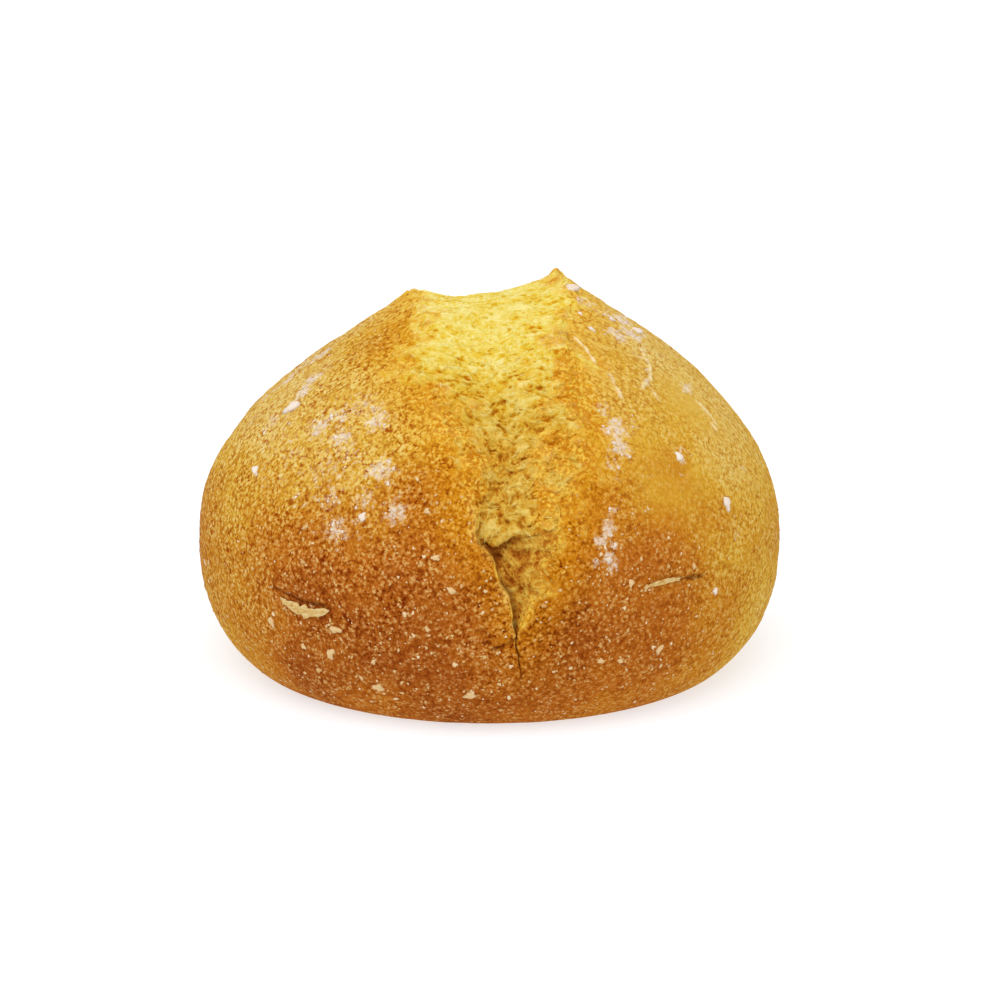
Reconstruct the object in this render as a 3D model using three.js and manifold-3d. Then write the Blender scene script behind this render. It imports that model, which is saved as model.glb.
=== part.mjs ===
// A crusty bread roll that burst open along its top while it baked.
// Millimetres, +Z up. The origin is the middle of the base, the front is -Y and the split runs front to back.
//
// Every point of the surface is found from two angles, as seen from the middle of the widest ring:
//   turn goes round the X axis, from 0 on top to +90 at the front, 180 underneath and -90 at the back;
//   side goes from -90 at the far left, through the split, to +90 at the far right.

import * as THREE from "three";
import { mergeVertices } from "three/addons/utils/BufferGeometryUtils.js";
import Module from "manifold-3d";

const { clamp, degToRad, lerp, seededRandom, smoothstep } = THREE.MathUtils;

// The plain body, before it burst.
const WIDTH = 100;
const LENGTH = 99;
const BELLY_HEIGHT = 22.4;
const DOME_RISE = 36.4;
const DOME_POWER = 1.92;
const UNDERSIDE_DROP = 30.8;
const UNDERSIDE_POWER = 2.72;
const BASE_ROUNDING = 6;
const BASE_TRIM = 1.5;

// Where the crust stands fuller or leaner than a true dome.
const BULGES = [
  { turn: degToRad(-16), side: degToRad(44), height: 0.9, spread: 20 },
  { turn: degToRad(-16), side: degToRad(-40), height: -0.7, spread: 18 },
  { turn: degToRad(60), side: degToRad(-48), height: 0.5, spread: 20 },
  { turn: degToRad(-75), side: degToRad(40), height: -0.5, spread: 20 },
];

// The split: how far it opens, where its two ends are and how it wanders, as angles.
const SPLIT_HALF = degToRad(17);
const FRONT_END = degToRad(95);
const BACK_END = degToRad(93);
const TAPER_POWER = 2.8;
const CRACK_HALF = degToRad(0.8);
const CRACK_LENGTH = degToRad(13);
const FRONT_DRIFT = degToRad(6);
const FRONT_DRIFT_START = degToRad(20);
const FRONT_DRIFT_FULL = degToRad(75);
const BACK_DRIFT = degToRad(-4);
const BACK_DRIFT_TURN = degToRad(45);
const WOBBLE = degToRad(0.9);
const MIDDLE_WOBBLES = 9;
const WIDTH_WOBBLES = 13;
const LEFT_BENDS = [
  { turn: degToRad(61), length: degToRad(8), angle: degToRad(3.6) },
  { turn: degToRad(74.5), length: degToRad(3.5), angle: degToRad(-1.2) },
  { turn: degToRad(86.5), length: degToRad(4.5), angle: degToRad(1) },
];
const CRACK_WANDER = degToRad(1);
const CRACK_WANDER_TURN = degToRad(95.5);
const CRACK_WANDER_LENGTH = degToRad(5);

// The two lips of crust beside it, pushed up all along and most of all in an ear behind the top.
const LIPS = {
  left: { rise: 4.0, ear: 1.4 },
  right: { rise: 5.2, ear: 2.6 },
};
const LIP_SPREAD = 44;
const STEEP_LIP_SHARE = 0.35;
const EAR_TURN = degToRad(-14);
const EAR_LENGTH = degToRad(20);
const EAR_SPREAD = 6;
const EAR_INNER_SPREAD = 1.7;
const EAR_SHARPNESS = 1.15;

// Low on the front the left lip hangs over the split by a share of the split's half width.
const OVERHANG_SHARE = 0.24;
const OVERHANG_START = degToRad(66);
const OVERHANG_FULL = degToRad(80);
const OVERHANG_SPREAD = 6;

// The torn crumb between the lips. Skew is where it is deepest, from -1 at the left lip to +1 at the right.
const TOP_SAG = 1.4;
const FRONT_SAG = 4.6;
const BACK_SAG = 4.2;
const FULL_SAG_TURN = degToRad(62);
const NARROW_SAG_SHARE = 0.15;
const LEDGE_TURN = degToRad(77.3);
const LEDGE_TILT = -0.28;
const LEDGE_BLUR = degToRad(3);
const LEDGE_DROP = 2.4;
const TOP_SKEW = -0.1;
const FRONT_SKEW = -0.7;
const SKEW_START = degToRad(45);
const SKEW_FULL = degToRad(85);
const STEEP_START = degToRad(64);
const STEEP_FULL = degToRad(80);
const TUFT_HEIGHT = 0.5;
const TUFT_LENGTH = 6;
const TUFT_WAVES = 9;
const TUFT_SEED = 11;
const TUFT_EDGE_POWER = 6;

// Two slivers of crust that blistered off the front.
const FLAKES = [
  { turn: degToRad(93.5), side: degToRad(-37), slant: degToRad(-14), length: 8.2, width: 2.5 },
  { turn: degToRad(87), side: degToRad(35), slant: degToRad(4), length: 8.6, width: 1.3 },
];
const FLAKE_THICKNESS = 1.5;
const FLAKE_PROUD = 0.15;
const FLAKE_ROUND_STEPS = 10;
const FLAKE_SIDE_STEPS = 6;

// How finely the surface is divided: round the X axis, and from the far left to the far right.
const ROUND_STEPS = 98;
const SIDE_STEPS = 60;
const UPPER_TURN = degToRad(112);
const UPPER_STEP_SHARE = 0.74;
const CRUST_STEP_SHARE = 0.35;
const CRUST_EASING = 1.25;
const UNDERSIDE_SPLIT_HALF = degToRad(13);
const UNDERSIDE_START = degToRad(104);
const UNDERSIDE_FULL = degToRad(135);

const CRUST_COLOUR = 0xc98a36;
const CRUST_ROUGHNESS = 0.75;
const WELD_DISTANCE = 1e-4;

const centre = new THREE.Vector3(0, 0, BELLY_HEIGHT);

function directionOf(turn, side) {
  const outward = Math.cos(side);
  return new THREE.Vector3(Math.sin(side), -outward * Math.sin(turn), outward * Math.cos(turn));
}

function bell(distance, spread) {
  return Math.exp(-((distance / spread) ** 2));
}

// Like a bell, with a pointed top.
function cusp(distance, spread) {
  return Math.exp(-((distance / spread) ** EAR_SHARPNESS));
}

// Waves of one length that cross in every direction, the same each time the same seed is given.
function crossingWaves(count, length, seed) {
  seededRandom(seed);
  const waves = [];
  for (let i = 0; i < count; i++) {
    const along = new THREE.Vector3(seededRandom() - 0.5, seededRandom() - 0.5, seededRandom() - 0.5);
    along.setLength((2 * Math.PI) / length);
    waves.push({ along, start: 2 * Math.PI * seededRandom() });
  }
  return (point) => {
    const sum = waves.reduce((total, { along, start }) => total + Math.sin(along.dot(point) + start), 0);
    return sum / Math.sqrt(count / 2);
  };
}

const tuftWave = crossingWaves(TUFT_WAVES, TUFT_LENGTH, TUFT_SEED);

// The lesser of two lengths, rounded over where they meet.
function roundedMin(a, b, rounding) {
  const overlap = Math.max(rounding - Math.abs(a - b), 0);
  return Math.min(a, b) - (overlap * overlap) / (4 * rounding);
}

// How far an ellipse-like curve of the given power reaches, for the two shares of its half axes.
function curveReach(levelShare, uprightShare, power) {
  return (levelShare ** power + uprightShare ** power) ** (-1 / power);
}

// How far the plain body reaches from its centre: a dome, a tucked-in underside and a level bottom, which
// lies a little too low so that the base can be trimmed off flat.
function bodyReach(direction) {
  const level = Math.hypot(direction.x / (WIDTH / 2), direction.y / (LENGTH / 2));
  if (direction.z >= 0) return curveReach(level, direction.z / DOME_RISE, DOME_POWER);
  const underside = curveReach(level, -direction.z / UNDERSIDE_DROP, UNDERSIDE_POWER);
  return roundedMin(underside, (BELLY_HEIGHT + BASE_TRIM) / -direction.z, BASE_ROUNDING);
}

function bodyPoint(turn, side) {
  const direction = directionOf(turn, side);
  return direction.multiplyScalar(bodyReach(direction)).add(centre);
}

const bulges = BULGES.map((bulge) => ({ ...bulge, peak: bodyPoint(bulge.turn, bulge.side) }));

function bulgeHeight(point) {
  const heights = bulges.map(({ height, spread, peak }) => height * bell(point.distanceTo(peak), spread));
  return heights.reduce((sum, height) => sum + height, 0);
}

function endTurn(turn) {
  return turn > 0 ? FRONT_END : BACK_END;
}

// From 1 where the split is widest to 0 at its two ends.
function openness(turn) {
  return Math.max(0, 1 - Math.abs(turn / endTurn(turn)) ** TAPER_POWER);
}

// From 1 along the split to 0 where the thin crack beyond its end has died out.
function crackFade(turn) {
  const end = endTurn(turn);
  return 1 - smoothstep(Math.abs(turn), end, end + CRACK_LENGTH);
}

// How far the left lip bends inward on its way down the front.
function leftBend(turn) {
  const angles = LEFT_BENDS.map((bend) => bend.angle * bell(turn - bend.turn, bend.length));
  return angles.reduce((sum, angle) => sum + angle, 0);
}

function splitMiddle(turn) {
  const frontDrift = FRONT_DRIFT * smoothstep(turn, FRONT_DRIFT_START, FRONT_DRIFT_FULL);
  const backDrift = BACK_DRIFT * smoothstep(-turn, 0, BACK_DRIFT_TURN);
  const wobble = WOBBLE * Math.sin(MIDDLE_WOBBLES * turn) * Math.sqrt(openness(turn));
  const wander = CRACK_WANDER * bell(Math.abs(turn) - CRACK_WANDER_TURN, CRACK_WANDER_LENGTH);
  return frontDrift + backDrift + wobble - wander + leftBend(turn) / 2;
}

function splitHalf(turn) {
  const open = (SPLIT_HALF + WOBBLE * Math.sin(WIDTH_WOBBLES * turn + 1)) * openness(turn);
  return Math.max(open - leftBend(turn) / 2, CRACK_HALF);
}

// How high the edge of a lip stands above the plain body, without its ear and for the ear alone.
function lipHeights(turn, { rise, ear }) {
  const steepness = lerp(STEEP_LIP_SHARE, 1, Math.max(0, Math.cos(turn)));
  return { plain: rise * steepness * openness(turn), ear: ear * bell(turn - EAR_TURN, EAR_LENGTH) };
}

// How far the deepest crumb lies below the line between the lips, with a step down at the slanting ledge.
function crumbDepth(turn, side) {
  const endSag = turn > 0 ? FRONT_SAG : BACK_SAG;
  const sag = lerp(TOP_SAG, endSag, smoothstep(Math.abs(turn), 0, FULL_SAG_TURN));
  const belowLedge = turn - LEDGE_TURN - LEDGE_TILT * side;
  const ledge = LEDGE_DROP * smoothstep(belowLedge, -LEDGE_BLUR, LEDGE_BLUR);
  const narrowing = lerp(NARROW_SAG_SHARE, 1, openness(turn));
  return (sag + ledge) * narrowing * crackFade(turn);
}

function overhangAt(turn, halfWidth) {
  const growth = smoothstep(turn, OVERHANG_START, OVERHANG_FULL) * Math.sqrt(openness(turn));
  return OVERHANG_SHARE * halfWidth * growth;
}

// The crust outside the split: its height above the plain body and its shift to the right.
function crustRelief(turn, across, halfWidth) {
  const isLeft = across < 0;
  const { plain, ear } = lipHeights(turn, isLeft ? LIPS.left : LIPS.right);
  const away = (Math.abs(across) - 1) * halfWidth;
  const slope = Math.max(0, 1 - away / LIP_SPREAD) ** 2;
  const height = plain * slope + ear * cusp(away, EAR_SPREAD);
  const shift = isLeft ? overhangAt(turn, halfWidth) * bell(away, OVERHANG_SPREAD) : 0;
  return { height, shift };
}

// The crumb inside the split: low on the front steep below the left lip, and a gentle slope elsewhere.
function crumbRelief(turn, side, across, halfWidth, point) {
  const left = lipHeights(turn, LIPS.left);
  const right = lipHeights(turn, LIPS.right);
  const skew = lerp(TOP_SKEW, FRONT_SKEW, smoothstep(turn, SKEW_START, SKEW_FULL));
  const isLeft = across < skew;
  const descent = isLeft ? (across + 1) / (skew + 1) : (1 - across) / (1 - skew);
  const gentle = (1 - Math.cos(descent * Math.PI)) / 2;
  const steep = lerp(gentle, Math.sin((descent * Math.PI) / 2), smoothstep(turn, STEEP_START, STEEP_FULL));
  const sag = isLeft ? steep : gentle;
  const leftEar = left.ear * cusp((1 + across) * halfWidth, EAR_INNER_SPREAD);
  const rightEar = right.ear * cusp((1 - across) * halfWidth, EAR_INNER_SPREAD);
  const lipLine = lerp(left.plain, right.plain, (across + 1) / 2) + leftEar + rightEar;
  const tufts = TUFT_HEIGHT * tuftWave(point) * openness(turn) * (1 - across ** TUFT_EDGE_POWER);
  const shift = isLeft ? overhangAt(turn, halfWidth) * (1 - descent) ** 2 : 0;
  return { height: lipLine - crumbDepth(turn, side) * sag + tufts, shift };
}

function rollPoint(turn, side) {
  const point = bodyPoint(turn, side);
  const half = splitHalf(turn);
  const halfWidth = half * point.distanceTo(centre);
  const across = (side - splitMiddle(turn)) / half;
  const isCrust = Math.abs(across) >= 1;
  const { height, shift } = isCrust
    ? crustRelief(turn, across, halfWidth)
    : crumbRelief(turn, side, across, halfWidth, point);
  const outward = directionOf(turn, side);
  const rightward = directionOf(turn, side + Math.PI / 2);
  return point.addScaledVector(outward, height + bulgeHeight(point)).addScaledVector(rightward, shift);
}

// The turn for a share of the way round from underneath, with most steps spent above the base.
function turnAt(share) {
  const fromTop = 2 * share - 1;
  const size = Math.abs(fromTop);
  const isUpper = size < UPPER_STEP_SHARE;
  const turn = isUpper
    ? (UPPER_TURN * size) / UPPER_STEP_SHARE
    : lerp(UPPER_TURN, Math.PI, (size - UPPER_STEP_SHARE) / (1 - UPPER_STEP_SHARE));
  return Math.sign(fromTop) * turn;
}

// The side for a share of the way from left to right, so that lines of points follow both lips.
function sideAt(share, turn) {
  const underneath = smoothstep(Math.abs(turn), UNDERSIDE_START, UNDERSIDE_FULL);
  const half = lerp(splitHalf(turn), UNDERSIDE_SPLIT_HALF, underneath);
  const middle = lerp(splitMiddle(turn), 0, underneath);
  const fromMiddle = 2 * share - 1;
  const hand = Math.sign(fromMiddle);
  const splitShare = 1 - 2 * CRUST_STEP_SHARE;
  if (Math.abs(fromMiddle) <= splitShare) return middle + (half * fromMiddle) / splitShare;
  const edge = middle + hand * half;
  const crustShare = (Math.abs(fromMiddle) - splitShare) / (1 - splitShare);
  return lerp(edge, (hand * Math.PI) / 2, crustShare ** CRUST_EASING);
}

// A sphere's grid of points, each moved to its place on the roll.
function rollGeometry() {
  const geometry = new THREE.SphereGeometry(1, ROUND_STEPS, SIDE_STEPS);
  const { position, uv } = geometry.attributes;
  for (let i = 0; i < position.count; i++) {
    const turn = turnAt(uv.getX(i) % 1);
    const side = sideAt(clamp(uv.getY(i), 0, 1), turn);
    position.setXYZ(i, ...rollPoint(turn, side));
  }
  return geometry;
}

// A sliver lying along the crust: a flattened ball, sunk so that only its upper part stands proud.
function flakeGeometry({ turn, side, slant, length, width }) {
  const outward = directionOf(turn, side);
  const rightward = directionOf(turn, side + Math.PI / 2);
  const onward = new THREE.Vector3().crossVectors(outward, rightward);
  const foot = rollPoint(turn, side).addScaledVector(outward, FLAKE_PROUD);
  const place = new THREE.Matrix4().makeBasis(rightward, onward, outward).setPosition(foot);
  return new THREE.SphereGeometry(0.5, FLAKE_ROUND_STEPS, FLAKE_SIDE_STEPS)
    .scale(length, width, FLAKE_THICKNESS)
    .rotateZ(slant)
    .applyMatrix4(place);
}

const wasm = await Module();
wasm.setup();

function solidOf(geometry) {
  geometry.deleteAttribute("normal");
  geometry.deleteAttribute("uv");
  const welded = mergeVertices(geometry, WELD_DISTANCE);
  const mesh = new wasm.Mesh({
    numProp: 3,
    vertProperties: welded.attributes.position.array,
    triVerts: new Uint32Array(welded.index.array),
  });
  return new wasm.Manifold(mesh);
}

function geometryOf(solid) {
  const { vertProperties, triVerts } = solid.getMesh();
  const geometry = new THREE.BufferGeometry();
  geometry.setAttribute("position", new THREE.BufferAttribute(vertProperties, 3));
  geometry.setIndex(new THREE.BufferAttribute(triVerts, 1));
  geometry.computeVertexNormals();
  geometry.computeBoundingBox();
  return geometry;
}

const flakes = FLAKES.map((flake) => solidOf(flakeGeometry(flake)));
const whole = wasm.Manifold.union([solidOf(rollGeometry()), ...flakes]);
const geometry = geometryOf(whole.trimByPlane([0, 0, 1], 0));
const middle = geometry.boundingBox.getCenter(new THREE.Vector3());
geometry.translate(-middle.x, -middle.y, 0);

const crust = new THREE.MeshStandardMaterial({ color: CRUST_COLOUR, roughness: CRUST_ROUGHNESS });
const roll = new THREE.Mesh(geometry, crust);
roll.name = "bread_roll";

const part = new THREE.Group();
part.add(roll);

export default part;
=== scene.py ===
"""The looks of a crusty bread roll that burst open along its top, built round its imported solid."""

from typing import NamedTuple

import bpy
import numpy as np
from mathutils import Color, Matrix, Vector, noise


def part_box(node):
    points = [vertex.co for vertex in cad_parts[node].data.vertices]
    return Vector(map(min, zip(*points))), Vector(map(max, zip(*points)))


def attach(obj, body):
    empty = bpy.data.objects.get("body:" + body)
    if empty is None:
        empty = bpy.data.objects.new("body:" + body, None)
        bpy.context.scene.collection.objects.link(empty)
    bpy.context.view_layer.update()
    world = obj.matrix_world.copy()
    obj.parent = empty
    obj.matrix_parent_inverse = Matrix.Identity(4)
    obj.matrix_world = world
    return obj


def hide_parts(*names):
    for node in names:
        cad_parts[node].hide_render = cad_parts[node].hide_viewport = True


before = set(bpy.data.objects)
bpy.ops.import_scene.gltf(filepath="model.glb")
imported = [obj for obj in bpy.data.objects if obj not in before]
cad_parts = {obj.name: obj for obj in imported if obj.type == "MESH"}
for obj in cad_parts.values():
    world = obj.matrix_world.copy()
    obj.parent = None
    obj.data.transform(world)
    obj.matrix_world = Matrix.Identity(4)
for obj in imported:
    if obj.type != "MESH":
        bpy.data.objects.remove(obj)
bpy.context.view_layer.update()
roll_low, roll_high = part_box("bread_roll")

DEG = np.pi / 180
TINY = 1e-6


def angles(*degrees):
    return tuple(degree * DEG for degree in degrees)


class Noise(NamedTuple):
    """Random waves: their size, a start unlike that of others, how many sizes they have, and their height."""

    size: float
    start: float = 0
    octaves: int = 2
    height: float = 1

    def at(self, points):
        places = (points / self.size + self.start).reshape(-1, 3)
        values = [noise.fractal(place, 1.0, 2.0, self.octaves) for place in places.tolist()]
        return self.height * np.array(values).reshape(points.shape[:-1])


def rise(value, low, high):
    """From 0 at the low end to 1 at the high end, smoothly. The low end may be the greater number."""
    share = np.clip((value - low) / (high - low), 0, 1)
    return share * share * (3 - 2 * share)


class Change(NamedTuple):
    """A share of something, which comes in between two values of something else."""

    share: float
    begins: float
    full: float

    def at(self, value):
        return self.share * rise(value, self.begins, self.full)


class Specks(NamedTuple):
    """Lumps that lie on the crust: those listed, then the number, radius, spread and form of those drawn."""

    listed: list
    count: int
    radius: float
    spread: float
    longest: float
    height_share: float


# Lengths below are in millimetres of a roll 100 mm wide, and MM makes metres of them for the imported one.
# A place on the roll is a turn, round from the top to the front, and a side, from the middle to the right.
# Lists give both in degrees. Two numbers under a plural name are where a change begins and where it is full.
# FROM_LIP is how far out from the lip a point lies, less than 0 on the crumb, and INSIDE is its opposite.
WIDTH = 100.0
MM = (roll_high.x - roll_low.x) / WIDTH

# The plain body, before it burst.
LENGTH = 99.0
BELLY_HEIGHT = 22.4
DOME_RISE = 36.4
DOME_POWER = 1.92
UNDERSIDE_DROP = 30.8
UNDERSIDE_POWER = 2.72
BASE_ROUNDING = 6.0
BASE_TRIM = 1.5
MEAN_REACH = 46.0

# Where the crust stands fuller or leaner than a true dome: turn, side, spread and height.
BULGES = [(-16, 44, 20, 0.9), (-16, -40, 18, -0.7), (60, -48, 20, 0.5), (-75, 40, 20, -0.5)]

# The split: how far it opens, where its two ends are and how it wanders, as angles.
SPLIT_HALF = 17 * DEG
FRONT_END = 95 * DEG
BACK_END = 93 * DEG
TAPER_POWER = 2.8
CRACK_HALF = 0.2 * DEG
CRACK_LENGTH = 13 * DEG
FRONT_DRIFT = Change(*angles(6, 20, 75))
BACK_DRIFT = Change(*angles(-4, 0, 45))
WOBBLE = 0.9 * DEG
MIDDLE_WOBBLES = 9
WIDTH_WOBBLES = 13
WIDTH_WOBBLE_START = 1
CRACK_WANDER = 1.0 * DEG
CRACK_WANDER_TURN = 95.5 * DEG
CRACK_WANDER_LENGTH = 5 * DEG

# Where the left lip bends: turn, length and angle.
LEFT_BENDS = [angles(61, 8, 3.6), angles(74.5, 3.5, -1.2), angles(86.5, 4.5, 1)]

# The small tears along the lips and the ledge.
LINE_WAVES = Noise(1, 0, 3)
RAGGED = 1.1 * DEG
RAGGED_LENGTH = 3.2
RAGGED_CRACK_SHARE = 0.4
CRACK_START = 3.5
LEFT_START = 5.5
RIGHT_START = 8.5
LEDGE_START = 71
LEDGE_RAGGED = 1.4 * DEG
LEDGE_RAGGED_LENGTH = 2.5

# The two lips of crust, pushed up all along and most of all in an ear behind the top: rise and ear.
LEFT_LIP = (4.0, 1.4)
RIGHT_LIP = (5.2, 2.6)
LIP_SPREAD = 44
STEEP_LIP_SHARE = 0.35
EAR_TURN = -14 * DEG
EAR_LENGTH = 20 * DEG
EAR_SPREAD = 6.0
EAR_INNER_SPREAD = 1.7
EAR_SHARPNESS = 1.15

# Low on the front the left lip is sharp and hangs over the split.
SHARP_LIP_TURNS = angles(62, 73)
OVERHANG_SHARE = 0.24
OVERHANG_TURNS = angles(66, 80)
OVERHANG_SPREAD = 6

# How the crumb sags between the lips, and the ledge that it ends in above the crack.
TOP_SAG = 1.4
FRONT_SAG = 4.6
BACK_SAG = 4.2
SAG_TURNS = angles(0, 62)
NARROW_SAG_SHARE = 0.15
TOP_SKEW = -0.1
FRONT_SKEW = -0.7
SKEW_TURNS = angles(45, 85)
STEEP_TURNS = angles(64, 80)
LEDGE_TURN = 77.3 * DEG
LEDGE_TILT = -0.28
LEDGE_BLUR = 0.5 * DEG
LEDGE_DROP = 2.4
LEDGE_LIP = 0.5
LEDGE_LIP_REACH = 5 * DEG

# The crumb's torn surface: swells, sparse pockets, slits, stretched membranes and fuzz.
SWELLS = Noise(4.5)
SWELL_HEIGHT = 0.45
SWIRLS_ACROSS = Noise(3.0, 11, height=1.9)
SWIRLS_DOWN = Noise(3.0, 37, height=1.9)
POCKETS = Noise((2.1, 1.5, 1))
POCKET_LEVELS = (-0.05, 0.65)
POCKET_SWELL_SHARE = 0.25
POCKET_DEPTH = 0.3
SLITS = Noise((1.5, 0.6, 1), 61, 1)
SLIT_LEVELS = (0.44, 0.64)
SLIT_DEPTH = 0.22
MEMBRANES = Noise((3.2, 1.9, 1), 5)
MEMBRANE_LEVELS = (0.2, 0)
MEMBRANE_HEIGHT = 0.3
FUZZ = Noise(0.75, 23)
FUZZ_HEIGHT = 0.15
TORN_LIFT = 0.2
HANG = 0.15

# The tears are deep down the front and the back. On top these shares of them are left.
DEEP_TURNS = angles(14, 46)
WALL_SHALLOWNESS = 0.5
SHALLOW_POCKETS = 0.25
SHALLOW_SLITS = 0.3
SHALLOW_MEMBRANES = 0.4

# How deep in a pocket a point is, by tears, pockets, slits, membranes and fuzz, and by where it is. The
# crumb's colour is darker the deeper it is, which is painted shade in pockets and holes, under the sharp lip
# and under the ledge; on the wall under the ledge it is darker too.
PIT_BASE = 0.24
PIT_WEIGHTS = (0.16, 0.5, 0.3, -0.4, -0.3)
HOLE_PIT = 1.1
WALL_PIT = 0.2
UNDER_LIP_PAINTED_SHADE = 0.18
UNDER_LIP_SPREAD = 2.5
UNDER_LEDGE_PAINTED_SHADE = 0.4
UNDER_LEDGE_TURN = 0.8 * DEG
UNDER_LEDGE_SPREAD = 1.2 * DEG
UNDER_LEDGE_INSIDE = (0, 2)
UNDER_LEDGE_LOSS = Change(0.7, *angles(4, 11))
WALL_INSIDE = (-0.5, 2.5)

# How far the tears reach over the lips, and how wide the split is where there is room for them.
FRAY_REACH = 7.0
FRAY = 4.5
SHARP_FRAY = 0.4
FRAY_INNER_SHARE = 0.3
FRAY_HALF_WIDTHS = (0.6, 5)

# The largest holes torn in the crumb: turn, side, half width, half height and depth.
HOLES = [
    (30, -7.5, 0.7, 0.35, 0.3), (40, -8.5, 0.9, 0.6, 0.4), (37.5, -4.5, 1.3, 0.25, 0.35),
    (38.5, 3, 1.0, 0.7, 0.3), (45.5, 15, 0.6, 0.8, 0.5), (52, 9.5, 0.8, 0.4, 0.6), (56, 12.5, 1.1, 0.9, 0.6),
    (57.5, 0, 0.35, 1.2, 0.5), (59, 8, 2.2, 0.4, 0.5), (61, 11.5, 1.2, 0.45, 0.6), (64.5, -6, 0.8, 0.45, 0.6),
    (73.5, 4, 0.9, 0.5, 0.7), (74, 10, 1.0, 0.5, 0.6), (76.5, -1, 0.8, 0.8, 0.6), (79, 6.5, 1.5, 0.7, 0.8),
    (80.5, 1.5, 1.1, 1.0, 1.0),
]
HOLE_SWIRL = 0.4

# The crust's dents, and the jags along the crests of its lips.
ROUGH_HEIGHTS = (1, 12)
DENTS = Noise(6.5, height=0.2)
FINE_DENTS = Noise(1.4, 20, height=0.12)
JAGS = Noise(1.5, 300, height=0.7)
CREST_SPREAD = 1.5
CREST_END_TURNS = angles(60, 30)

# Furrows in the crust: the turn and side of both ends, the depth, the half width and how much painted shade
# they get.
FURROWS = [
    ((95.6, 5.0), (97.8, 0.6), 0.4, 0.22, 0.7),
    ((90.6, -44.4), (92.4, -37.5), 0.5, 0.3, 0.7),
    ((92.4, -37.5), (92.0, -32.0), 0.5, 0.3, 0.7),
    ((87.0, 38.8), (87.4, 44.4), 0.6, 0.35, 0.8),
    ((23.0, 16.8), (26.6, 19.0), 0.7, 0.45, 0.35),
]

# Thin ridges where the skin of the crust is drawn up, each through some turns and sides.
THREADS = [
    [(15, 36.5), (23, 38.5), (28.5, 38), (35, 35)],
    [(33, 37.5), (37, 39)],
    [(24, 19.5), (31, 23.5)],
    [(34.5, 27), (41.5, 29)],
    [(26, 51.5), (31, 55.5), (38, 55)],
]
THREAD_HEIGHT = 0.3
THREAD_HALF = 0.26

# How uneven furrows and threads are, near them.
LINE_REACH = 3
LINE_EDGES = Noise(1.2, 90, height=0.35)

# Dust of flour on the crust: turn, side, radius and how thick it lies.
FLOUR = [
    (0, -43, 2.4, 0.95), (2, -53, 2.6, 0.95), (22, -44, 2.2, 0.95), (27, -45, 2, 0.95), (45, -33, 2.6, 0.65),
    (35, -53, 1.8, 0.7), (46, -38, 2.8, 0.75), (49, -24, 2.4, 0.8), (52, -32, 1.9, 0.85),
    (62, -22, 2.3, 0.85), (58, -32, 7.0, 0.4), (66, -41, 0.9, 0.6), (68, -25, 2.0, 0.6), (68, -32, 2.2, 0.6),
    (71, -18, 1.9, 0.9),
    (75, -30, 2.6, 0.7), (1, 32, 2.8, 0.95), (4, 22, 2.4, 0.6), (9, 34, 2.4, 0.95), (14, 30, 2.0, 0.8),
    (20, 36, 0.9, 0.7), (25, 38, 0.9, 0.7), (31, 37, 0.9, 0.6), (47, 24, 1.5, 0.6), (51, 27, 2.2, 0.85),
    (56, 27, 2.1, 0.85), (61, 25, 1.6, 0.55), (71, 24, 1.3, 0.55), (75, 23, 1.5, 0.95), (77, 21, 0.9, 0.95),
    (78, 24, 0.7, 0.95), (81, 23, 1.5, 0.95), (21, 49, 2.0, 0.8), (55, 42, 1.1, 0.8), (48, 63, 0.8, 0.6),
    (77, 56, 0.7, 0.7),
]
FLOUR_EDGES = Noise(1.8, 200, height=0.7)
FLOUR_FROM_LIP = (-0.5, 1.5)

# A thin dusting between those patches, less of it on the right.
DUST = Noise(7, 130)
DUST_MIDDLE = 0.5
DUST_THICKNESS = Change(0.42, 30, 44)
DUST_RIGHT_LOSS = Change(0.6, *angles(0, 30))
DUST_FROM_LIP = (3, 14)

# How dark the crust is baked at each height, and darker or lighter patches: turn, side, radius and share.
BROWN_HEIGHTS = [3, 11, 21, 28, 32, 36.5, 41, 49, 56]
BROWN_SHARES = [0.88, 0.96, 0.95, 0.89, 0.78, 0.58, 0.44, 0.26, 0.1]
BROWN_PATCHES = [
    (13, -29, 8, 0.3), (66, -13, 6, 0.25), (24, -25, 5, 0.2), (65, 25, 6, 0.2), (58, 41, 5, 0.2),
    (72, 43, 8, -0.15), (104, -26, 8, 0.08), (104, 55, 8, 0.12), (86, -25, 6, 0.04), (68, 51, 5, 0.2),
    (58, -50, 5, 0.15), (94, -56, 7, 0.12), (52, -36, 9, -0.06), (29, 38, 6, 0.1),
]
BLOTCHES = Noise(14, 5, height=0.14)

# The crust gets lighter towards both sides and low on the right, and less so at the far ends.
LEFT_LOSS = Change(0.42, *angles(37, 53))
RIGHT_LOSS = Change(0.55, *angles(30, 56))
FAR_RETURN = Change(0.3, *angles(72, 88))
LOW_RIGHT_LOSS = Change(0.1, *angles(0, 20))
LOW_HEIGHTS = (24, 14)

# How far the golden crust reaches from where it tore.
GOLD_LEFT = 8.0
GOLD_LOW_LEFT = 4.5
GOLD_LOW_TURNS = angles(70, 95)
GOLD_RIGHT = 7.0
GOLD_LEFT_LOSS = Change(0.15, *angles(60, 74))
GOLD_END_TURNS = angles(112, 88)

# Where the crust has little grain: turn, side and radius. It has less also near the base and on the right.
SMOOTH = [(30, 48, 9), (63, 40, 12)]
PARTLY_SMOOTH = 0.35
SMOOTH_BASE_HEIGHTS = (20, 4)
SMOOTH_RIGHT_SIDES = angles(10, 30)

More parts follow.
